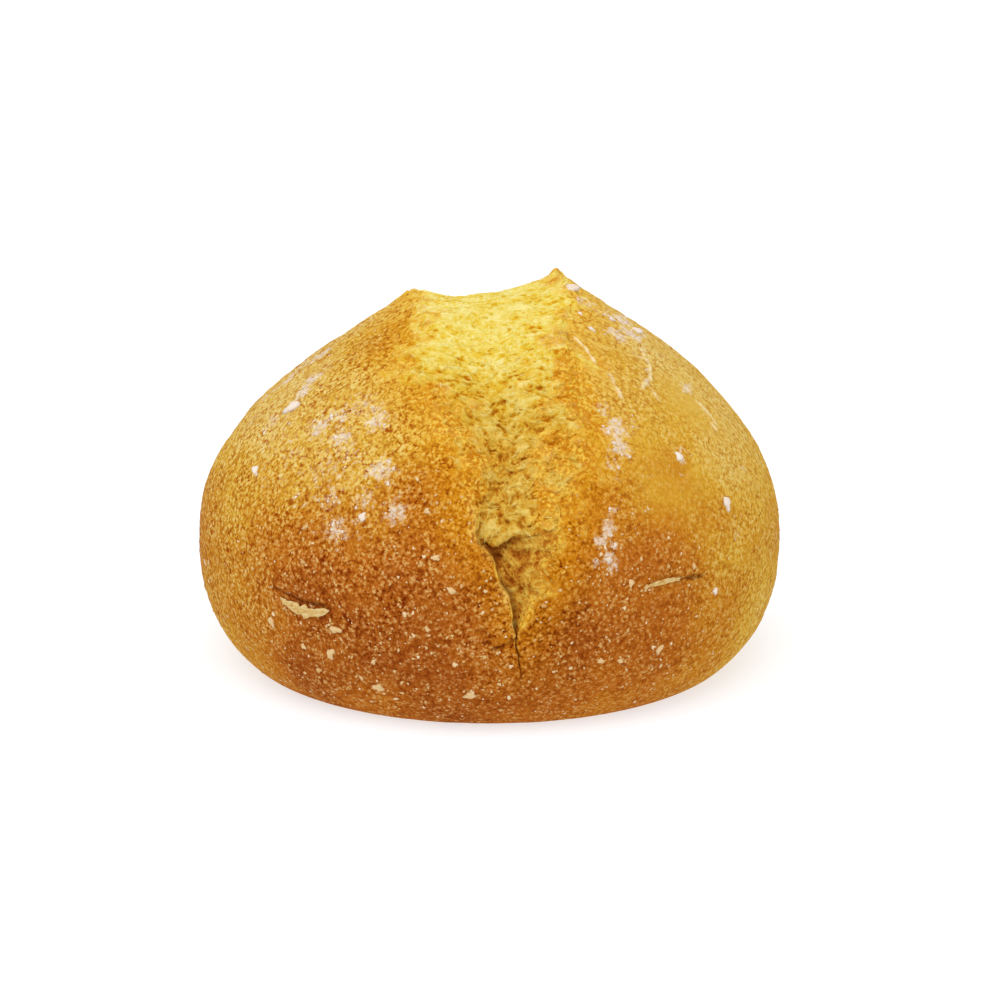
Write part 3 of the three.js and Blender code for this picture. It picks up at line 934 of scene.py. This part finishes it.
def mesh_piece(name, points, faces, masks, material):
    mesh = bpy.data.meshes.new(name)
    mesh.from_pydata((points * MM).tolist(), [], faces)
    for mask, values in masks.items():
        layer = mesh.attributes.new(mask, "FLOAT", "POINT")
        layer.data.foreach_set("value", np.asarray(values, dtype=np.float32))
    mesh.shade_smooth()
    mesh.materials.append(material)
    piece = bpy.data.objects.new(name, mesh)
    bpy.context.scene.collection.objects.link(piece)
    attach(piece, "root")
    return piece


def grid_quads(rows, columns):
    """The corners of every face of the grid, where the first and the last column are one point each."""
    index = np.arange(rows * columns).reshape(rows, columns)
    index[:, 0] = index[0, 0]
    index[:, -1] = index[0, -1]
    below = np.roll(index, -1, axis=0)
    return np.stack([index[:, :-1], index[:, 1:], below[:, 1:], below[:, :-1]], axis=-1)


def grid_piece(name, quads, points, masks, material):
    """Some of the grid's faces as one piece, which stands for the whole roll together with the others."""
    used, corners = np.unique(quads, return_inverse=True)
    faces = [list(dict.fromkeys(corner)) for corner in corners.reshape(-1, 4).tolist()]
    own_masks = {mask: values.reshape(-1)[used] for mask, values in masks.items()}
    piece = mesh_piece(name, points.reshape(-1, 3)[used], faces, own_masks, material)
    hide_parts("bread_roll")


def unit(vectors):
    return vectors / np.maximum(np.linalg.norm(vectors, axis=-1, keepdims=True), TINY)


def drawn_places(random, points, weight, count):
    """The numbers of random points of the grid, likelier where the weight is large."""
    along = np.gradient(points, axis=1)
    down = np.gradient(points, axis=0)
    chance = (np.linalg.norm(np.cross(down, along), axis=-1) * weight).reshape(-1)
    return random.choice(chance.size, count, p=chance / chance.sum())


def listed_places(body, entries):
    """The numbers of the points of the grid that are nearest to listed turns and sides."""
    return np.array([np.argmin(distance_to(body, turn, side)) for turn, side, radius in entries])


class Places:
    """Numbered points of the grid, each moved a little, with directions along and off the skin there."""

    def __init__(self, random, points, numbers):
        along = np.gradient(points, axis=1).reshape(-1, 3)[numbers]
        down = (np.roll(points, -1, axis=0) - np.roll(points, 1, axis=0)).reshape(-1, 3)[numbers] / 2
        jitter = random.uniform(-0.5, 0.5, (2, len(numbers), 1))
        self.points = points.reshape(-1, 3)[numbers] + along * jitter[0] + down * jitter[1]
        self.outward = unit(np.cross(down, along))
        self.along = unit(along)
        self.down = np.cross(self.along, self.outward)

    def heading(self, angle):
        """Two directions along the skin, turned by an angle at each place."""
        cos, sin = np.cos(angle)[:, None], np.sin(angle)[:, None]
        return self.along * cos + self.down * sin, self.down * cos - self.along * sin


def copied_faces(pattern, count, size):
    """The faces of one small thing, repeated for each of its copies."""
    return [[corner + size * number for corner in face] for number in range(count) for face in pattern]


def lumps(random, places, lengths, widths, heights):
    """Small uneven lumps, one at each place: their points and faces."""
    count = len(lengths)
    first, second = places.heading(random.uniform(0, 2 * np.pi, count))
    round_angles = np.arange(LUMP_SIDES) * 2 * np.pi / LUMP_SIDES
    phases = random.uniform(0, 2 * np.pi, (len(LUMP_WAVES), count, 1))
    uneven = 1
    for (waves, height), phase in zip(LUMP_WAVES, phases):
        uneven = uneven + height * np.sin(waves * round_angles + phase)
    spread = first[:, None] * (np.cos(round_angles) * lengths[:, None])[..., None]
    spread = spread + second[:, None] * (np.sin(round_angles) * widths[:, None])[..., None]
    rings = []
    for share, level in LUMP_LEVELS:
        lift = places.outward * (level * heights)[:, None]
        rings.append(places.points[:, None] + share * uneven[..., None] * spread + lift[:, None])
    top = places.points + places.outward * heights[:, None]
    points = np.concatenate([*rings, top[:, None]], axis=1)
    pattern = [list(range(LUMP_SIDES))[::-1]]
    tip = LUMP_POINTS - 1
    for side in range(LUMP_SIDES):
        after = (side + 1) % LUMP_SIDES
        pattern.append([side, after, LUMP_SIDES + after, LUMP_SIDES + side])
        pattern.append([tip - LUMP_SIDES + side, tip - LUMP_SIDES + after, tip])
    return points.reshape(-1, 3), copied_faces(pattern, count, LUMP_POINTS)


def strands(random, places, lengths, thicknesses):
    """Thin arched threads that lie on the crumb, one at each place: their points and faces."""
    count = len(lengths)
    first, second = places.heading(random.normal(0, STRAND_HEADING, count))
    steps = np.linspace(-1, 1, STRAND_STEPS)
    arch = random.uniform(*STRAND_ARCH, count)[:, None] * (1 - steps**2) - STRAND_SUNK
    bend = (random.normal(0, STRAND_BEND, count) * lengths)[:, None] * (1 - steps**2)
    line = places.points[:, None] + first[:, None] * (lengths[:, None] / 2 * steps)[..., None]
    line = line + places.outward[:, None] * arch[..., None] + second[:, None] * bend[..., None]
    radius = thicknesses[:, None] * np.sqrt(1 + STRAND_TIP - steps**2)
    corners = []
    for corner in range(STRAND_SIDES):
        angle = corner * 2 * np.pi / STRAND_SIDES
        offset = np.cos(angle) * second[:, None] + np.sin(angle) * places.outward[:, None]
        corners.append(line + offset * radius[..., None])
    points = np.stack(corners, axis=2)
    pattern = [list(range(STRAND_SIDES))]
    for step in range(STRAND_STEPS - 1):
        for corner in range(STRAND_SIDES):
            a = step * STRAND_SIDES + corner
            b = step * STRAND_SIDES + (corner + 1) % STRAND_SIDES
            pattern.append([b, a, a + STRAND_SIDES, b + STRAND_SIDES])
    end = STRAND_SIDES * (STRAND_STEPS - 1)
    pattern.append(list(range(end, end + STRAND_SIDES))[::-1])
    return points.reshape(-1, 3), copied_faces(pattern, count, STRAND_SIDES * STRAND_STEPS)


def sheet_faces(index):
    """The faces between the numbered points of a grid."""
    quads = np.stack([index[:-1, :-1], index[1:, :-1], index[1:, 1:], index[:-1, 1:]], axis=-1)
    return quads.reshape(-1, 4).tolist()


def slab(top, bottom):
    """A thin closed sheet between two grids of points: its points and faces."""
    rows, columns = top.shape[:2]
    upper = np.arange(rows * columns).reshape(rows, columns)
    lower = upper + rows * columns
    rim = np.concatenate([upper[:, 0], upper[-1, 1:], upper[-2::-1, -1], upper[0, -2:0:-1]])
    after = np.roll(rim, -1)
    faces = sheet_faces(upper) + sheet_faces(lower.T)
    faces += np.stack([after, rim, rim + rows * columns, after + rows * columns], axis=-1).tolist()
    return np.concatenate([top.reshape(-1, 3), bottom.reshape(-1, 3)]), faces


def flake(start, end, width, bow, stand):
    """A pointed sliver that peels off the crust, standing off most along its upper edge."""
    along = np.linspace(0, 1, FLAKE_STEPS[0])[:, None]
    across = np.linspace(-1, 1, FLAKE_STEPS[1])[None, :]
    lens = np.sin(np.pi * along) ** FLAKE_BLUNTNESS
    uneven = 1 + FLAKE_EDGES.at(np.stack([along, 0 * along, 0 * along + width], axis=-1))
    half = width / 2 * lens * uneven + FLAKE_TIP
    turn = mix(start[0], end[0], along) * DEG + bow * DEG * np.sin(np.pi * along) + across * half / MEAN_REACH
    side = mix(start[1], end[1], along) * DEG + 0 * across
    skin = Skin(turn, side)
    curl = stand * lens * mix(1, FLAKE_LOWER_STAND, (across + 1) / 2) + FLAKE_CURLS.at(skin.body)
    thickness = FLAKE_THICKNESS * mix(FLAKE_END_THICKNESS, 1, lens) + 0 * across
    top = skin.points + skin.outward * (curl + FLAKE_THICKNESS / 2)[..., None]
    return slab(top, top - skin.outward * thickness[..., None])


def linear(*shown):
    """A colour as a screen shows it, from 0 to 255, made linear."""
    return (*Color(np.array(shown) / 255).from_srgb_to_scene_linear(), 1.0)


class Shader:
    """A material's nodes: each call adds one, sets or links its inputs, and gives its output back."""

    def __init__(self, name):
        self.material = bpy.data.materials.new(name)
        self.material.use_nodes = True
        self.tree = self.material.node_tree
        self.surface = self.tree.nodes["Principled BSDF"]
        self.place = self.add("TexCoord", {}).outputs["Object"]

    def connect(self, value, socket):
        if isinstance(value, bpy.types.NodeSocket):
            self.tree.links.new(value, socket)
        else:
            socket.default_value = value

    def add(self, kind, inputs, **settings):
        node = self.tree.nodes.new("ShaderNode" + kind)
        for name, value in settings.items():
            setattr(node, name, value)
        for name, value in inputs.items():
            self.connect(value, node.inputs[name])
        return node

    def mask(self, name):
        return self.add("Attribute", {}, attribute_name=name).outputs["Fac"]

    def math(self, operation, *values):
        return self.add("Math", dict(enumerate(values)), operation=operation).outputs[0]

    def sum(self, first, second):
        return self.math("ADD", first, second)

    def times(self, first, second):
        return self.math("MULTIPLY", first, second)

    def scaled(self, value, factor, start):
        """The value taken times a factor, with a start added to it."""
        return self.math("MULTIPLY_ADD", value, factor, start)

    def swing(self, value, share):
        """How far the value is above or below a half, taken times a share."""
        return self.scaled(value, share, -share / 2)

    def range(self, value, low, high, to_low=0.0, to_high=1.0, kind="SMOOTHSTEP"):
        sockets = dict(enumerate([value, low, high, to_low, to_high]))
        return self.add("MapRange", sockets, interpolation_type=kind).outputs[0]

    def grain(self, size, detail=2.0, roughness=0.6, stretch=NO_STRETCH):
        place = self.add("VectorMath", {0: self.place, 1: stretch}, operation="MULTIPLY").outputs[0]
        inputs = {"Vector": place, "Scale": 1 / (size * MM), "Detail": detail, "Roughness": roughness}
        return self.add("TexNoise", inputs).outputs["Fac"]

    def cells(self, place, size):
        return self.add("TexVoronoi", {"Vector": place, "Scale": 1 / (size * MM)}).outputs

    def sand(self):
        """Grains of all shades, some round and some run together, round a mean of a half."""
        away = self.cells(self.place, SAND_SIZE)["Distance"]
        blurred = self.swing(self.grain(*SAND_BLUR), SAND_BLUR_SHARE)
        return self.sum(blurred, self.scaled(away, -SAND_ROUND_SHARE, SAND_LEVEL))

    def single_grains(self):
        """Small grains, each of its own shade, round a mean of nought."""
        return self.swing(self.cells(self.place, SINGLE_GRAIN_SIZE)["Color"], SINGLE_GRAIN_SHARE)

    def fibres(self, size, stretch):
        """Thin lines that wander and branch, from 0 between them to 1 on them."""
        away = self.math("ABSOLUTE", self.swing(self.grain(size, *SOME_DETAIL, stretch), 1.0))
        return self.range(away, 0.0, FIBRE_HALF, 1.0, 0.0)

    def pores(self):
        """Round spots, far apart, from 0 between them to 1 in the middle of each."""
        size = PORE_SIZE * MM
        bent = self.add("TexNoise", {"Vector": self.place, "Scale": 1 / size}).outputs["Color"]
        moved = self.add("VectorMath", {0: bent, 1: (size,) * 3, 2: self.place}, operation="MULTIPLY_ADD")
        cells = self.cells(moved.outputs[0], PORE_SIZE)
        spot = self.range(cells["Distance"], *PORE_EDGES, 1.0, 0.0)
        return self.times(spot, self.range(cells["Color"], *PORE_CHOICE))

    def blend(self, share, first, second):
        return self.add("Mix", {0: share, 6: first, 7: second}, data_type="RGBA").outputs[2]

    def ramp(self, value, stops):
        node = self.add("ValToRGB", {0: value})
        elements = node.color_ramp.elements
        while len(elements) < len(stops):
            elements.new(0.5)
        for element, (place, colour) in zip(elements, stops):
            element.position = place
            element.color = linear(*colour)
        return node.outputs[0]

    def set(self, **values):
        """Sets or links inputs of the surface, with _ for each space in their names."""
        for name, value in values.items():
            self.connect(value, self.surface.inputs[name.replace("_", " ")])

    def finish(self, colour, relief, depth, roughness, gloss):
        bump = self.add("Bump", {"Strength": 1.0, "Distance": depth * MM, "Height": relief})
        self.set(Base_Color=colour, Normal=bump.outputs[0], Roughness=roughness, Specular_IOR_Level=gloss)
        return self.material


def crust_colour(shader, fine):
    """Golden above and brown below, with a sandy grain of pale crumbs and dark gaps."""
    baked = shader.mask("browning")
    for size, share in BAKED_PATCHES:
        baked = shader.sum(baked, shader.swing(shader.grain(size), share))
    lip = shader.times(shader.mask("lip"), LIP_GOLD)
    base = shader.blend(lip, shader.ramp(baked, CRUST_BASE), shader.ramp(baked, LIP_BASE))
    pale = shader.blend(lip, shader.ramp(baked, CRUST_PALE), shader.ramp(baked, LIP_PALE))
    dark = shader.ramp(baked, CRUST_DARK)
    uneven = shader.range(shader.grain(CONTRAST_SIZE), *CONTRAST_LEVELS, *CONTRASTS)
    contrast = shader.times(shader.scaled(shader.mask("smooth"), -SMOOTH_CONTRAST_LOSS, 1.0), uneven)
    pale_from = shader.range(baked, 0.0, 1.0, *PALE_BEGINS)
    pale_share = shader.range(fine, pale_from, shader.sum(pale_from, PALE_SPAN), kind="LINEAR")
    dark_share = shader.range(fine, *DARK_LEVELS, kind="LINEAR")
    base = shader.blend(shader.times(dark_share, contrast), base, dark)
    return shader.blend(shader.times(pale_share, contrast), base, pale)


def crumb_colour(shader, fine, fibre, pore):
    """Pale yellow crests, golden flanks and tan pockets, more tan down the front, and toasted by the lips.
    The darker tan of pockets is partly painted shade, and the paler crests partly painted light.
    """
    # Deeper pockets and pores are painted darker as painted shade, and pale fibres lighter as painted light.
    depth = shader.mask("pit_shade")
    for value, weight in zip([shader.grain(*STREAKS), shader.grain(*MOTTLING), fibre, pore], DEPTH_WEIGHTS):
        depth = shader.scaled(value, weight, depth)
    depth = shader.range(depth, *DEPTHS, kind="LINEAR")
    upper = shader.ramp(depth, CRUMB_UPPER)
    colour = shader.blend(shader.mask("tan"), upper, shader.ramp(depth, CRUMB_LOWER))
    toast = shader.sum(shader.mask("toast"), shader.swing(fine, TOAST_GRAIN_SHARE))
    toasted = shader.range(toast, *TOAST_LEVELS, 0.0, FULL_TOAST)
    return shader.blend(toasted, colour, shader.ramp(fine, TOAST_TONES))


def covered(shader, colour, fine):
    """The bread's colour under flour, pale edges and threads of skin, and painted shade in the gap, the
    crack, the furrows and under the ledge.
    """
    dust = shader.mask("flour")
    flour = shader.sum(dust, shader.swing(shader.grain(*FLOUR_GRAIN), FLOUR_GRAIN_SHARE))
    share = shader.range(flour, *FLOUR_LEVELS, 0.0, FULL_FLOUR)
    share = shader.times(share, shader.range(dust, *FLOUR_END_LEVELS))
    colour = shader.blend(share, colour, shader.ramp(flour, FLOUR_DUST_TONES))
    rim = shader.times(shader.mask("rim"), shader.range(fine, *RIM_LEVELS, *RIM_SHARES))
    colour = shader.blend(rim, colour, linear(*RIM_COLOUR))
    thread = shader.times(shader.mask("thread"), FULL_THREAD)
    colour = shader.blend(thread, colour, linear(*THREAD_COLOUR))
    shade = shader.times(shader.mask("shade"), FULL_SHADE)
    return shader.blend(shade, colour, linear(*SHADE_COLOUR))


def bread_material():
    """Crust and crumb as the masks say, which light gets into a little way."""
    shader = Shader("bread")
    crust = shader.mask("crust")
    rough = shader.sand()
    fine = shader.sum(rough, shader.single_grains())
    fibre = shader.math("MAXIMUM", shader.fibres(*LEVEL_FIBRES), shader.fibres(*UPRIGHT_FIBRES))
    pore = shader.pores()
    between = shader.times(crust, shader.scaled(crust, -HALF_WAY, HALF_WAY))
    uneven = shader.times(between, shader.swing(fine, EDGE_GRAIN_SHARE))
    is_crust = shader.range(shader.sum(crust, uneven), *EDGE_LEVELS)
    colour = shader.blend(is_crust, crumb_colour(shader, fine, fibre, pore), crust_colour(shader, fine))
    softness = shader.range(is_crust, 0.0, 1.0, CRUMB_SOFTNESS, CRUST_SOFTNESS)
    shader.set(Subsurface_Weight=softness, Subsurface_Radius=LIGHT_REACH_BY_COLOUR)
    shader.set(Subsurface_Scale=LIGHT_REACH * MM)
    torn = shader.math("SUBTRACT", shader.times(fibre, FIBRE_RELIEF), shader.times(pore, PORE_RELIEF))
    relief = shader.blend(crust, torn, shader.scaled(rough, SAND_RELIEF, SAND_RELIEF_START))
    return shader.finish(covered(shader, colour, fine), relief, *BREAD_FINISH)


def speck_material(name, stops, size):
    """A dry grainy bit, its colour by its own tone and a little noise."""
    shader = Shader(name)
    grain = shader.grain(size, *FULL_DETAIL)
    tone = shader.sum(shader.mask("tone"), shader.swing(grain, SPECK_GRAIN_SHARE))
    return shader.finish(shader.ramp(tone, stops), grain, *SPECK_FINISH)


def flake_material():
    shader = Shader("flake")
    fibre = shader.grain(*FLAKE_GRAIN)
    return shader.finish(shader.ramp(fibre, FLAKE_TONES), fibre, *FLAKE_FINISH)


def stage():
    floor_mesh = bpy.data.meshes.new("floor")
    low, high = -FLOOR_REACH, FLOOR_REACH
    corners = [(low, low, 0), (high, low, 0), (high, high, 0), (low, high, 0)]
    floor_mesh.from_pydata(corners, [], [(0, 1, 2, 3)])
    floor = bpy.data.objects.new("floor", floor_mesh)
    bpy.context.scene.collection.objects.link(floor)
    shader = Shader("floor")
    shader.set(Base_Color=linear(*FLOOR_COLOUR), Emission_Color=WHITE, Emission_Strength=FLOOR_GLOW)
    shader.set(Roughness=FLOOR_ROUGHNESS, Specular_IOR_Level=0.0)
    floor_mesh.materials.append(shader.material)


def lights():
    world = bpy.data.worlds.new("studio")
    bpy.context.scene.world = world
    world.use_nodes = True
    sky = world.node_tree.nodes["Background"].inputs
    sky["Color"].default_value = WHITE
    sky["Strength"].default_value = SKY_STRENGTH
    light = bpy.data.lights.new("key", "SUN")
    light.energy = KEY_STRENGTH
    light.angle = KEY_SOFTNESS
    lamp = bpy.data.objects.new("key", light)
    lamp.rotation_euler = KEY_TILT
    bpy.context.scene.collection.objects.link(lamp)


def camera():
    data = bpy.data.cameras.new("camera")
    data.sensor_width = SENSOR_WIDTH
    data.lens = SENSOR_WIDTH * CAMERA_DISTANCE / IMAGE_WIDTH
    eye = bpy.data.objects.new("camera", data)
    back = Vector((0, -np.cos(CAMERA_ELEVATION), np.sin(CAMERA_ELEVATION)))
    eye.location = (Vector(CAMERA_AIM) + back * CAMERA_DISTANCE) * MM
    eye.rotation_euler = (np.pi / 2 - CAMERA_ELEVATION, 0, 0)
    bpy.context.scene.collection.objects.link(eye)
    bpy.context.scene.camera = eye


def add_bread(skin, masks):
    """The roll's own surface in three pieces: the crust on either side and the crumb between."""
    quads = grid_quads(*skin.turn.shape)
    rows = np.abs(skin.turn[:, 0]) < UPPER_TURN
    chosen = np.zeros(quads.shape[:2], dtype=int)
    chosen[:, quads.shape[1] // 2:] = 2
    chosen[rows, CRUST_COLUMNS:CRUST_COLUMNS + CRUMB_COLUMNS] = 1
    material = bread_material()
    for number, name in enumerate(["crust_left", "crumb", "crust_right"]):
        grid_piece(name, quads[chosen == number], skin.points, masks, material)


def add_specks(name, specks, random, skin, weight, tones_of, material):
    """Lumps on the crust, first those listed and then those drawn, some drawn out, with a tone for each."""
    drawn = drawn_places(random, skin.points, weight, specks.count)
    small = specks.radius * np.exp(random.normal(0, specks.spread, specks.count))
    tones = np.concatenate(tones_of(random))
    places = Places(random, skin.points, np.concatenate([listed_places(skin.body, specks.listed), drawn]))
    radii = np.concatenate([[radius for turn, side, radius in specks.listed], small])
    lengths = radii * random.uniform(1, specks.longest, len(radii))
    points, faces = lumps(random, places, lengths, radii, specks.height_share * radii)
    mesh_piece(name, points, faces, {"tone": np.repeat(tones, LUMP_POINTS)}, material)


def bran_tones(random):
    return np.full(len(BRAN_LISTED), BRAN_LISTED_TONE), random.beta(*BRAN_TONE_POWERS, BRAN.count)


def flour_tones(random):
    return random.uniform(*LISTED_TONES, len(GRAINS_LISTED)), random.uniform(*GRAIN_TONES, GRAINS.count)


def add_strands(random, skin):
    weight = skin.is_crumb * skin.torn * np.clip(1 - skin.pit_shade, 0, 1) * (1 - skin.wall)
    weight = weight * rise(np.abs(skin.turn - STRAND_BARE_TURN), *STRAND_TURNS)
    places = Places(random, skin.points, drawn_places(random, skin.points, weight, STRANDS))
    lengths = random.uniform(*STRAND_LENGTH, STRANDS)
    points, faces = strands(random, places, lengths, random.uniform(*STRAND_THICKNESS, STRANDS))
    tones = np.repeat(random.uniform(0, 1, STRANDS), STRAND_SIDES * STRAND_STEPS)
    material = speck_material("strand", STRAND_TONES, STRAND_GRAIN_SIZE)
    mesh_piece("crumb_strands", points, faces, {"tone": tones}, material)


def add_flakes(middle):
    material = flake_material()
    for name, settings in zip(["flake_left", "flake_right"], FLAKES):
        points, faces = flake(*settings)
        points[:, :2] -= middle
        mesh_piece(name, points, faces, {}, material)


def build():
    turn = turns()
    skin = Skin(turn, sides_at(turn))
    middle = (skin.points.min(axis=(0, 1)) + skin.points.max(axis=(0, 1)))[:2] / 2
    skin.points[..., :2] -= middle
    masks = masks_of(skin)
    on_crust = (skin.from_lip > SPECK_FROM_LIP) * rise(skin.points[..., 2], *SPECK_HEIGHTS)
    random = np.random.default_rng(SEED)
    add_bread(skin, masks)
    weight = on_crust * rise(masks["browning"], *BRAN_BROWNING)
    material = speck_material("bran", BRAN_COLOURS, SPECK_GRAIN_SIZE)
    add_specks("bran_flecks", BRAN, random, skin, weight, bran_tones, material)
    weight = on_crust * rise(masks["flour"], *GRAIN_FLOUR)
    material = speck_material("flour", FLOUR_TONES, SPECK_GRAIN_SIZE)
    add_specks("flour_lumps", GRAINS, random, skin, weight, flour_tones, material)
    add_strands(random, skin)
    add_flakes(middle)


build()
stage()
lights()
camera()
bpy.context.scene.view_settings.view_transform = "Standard"
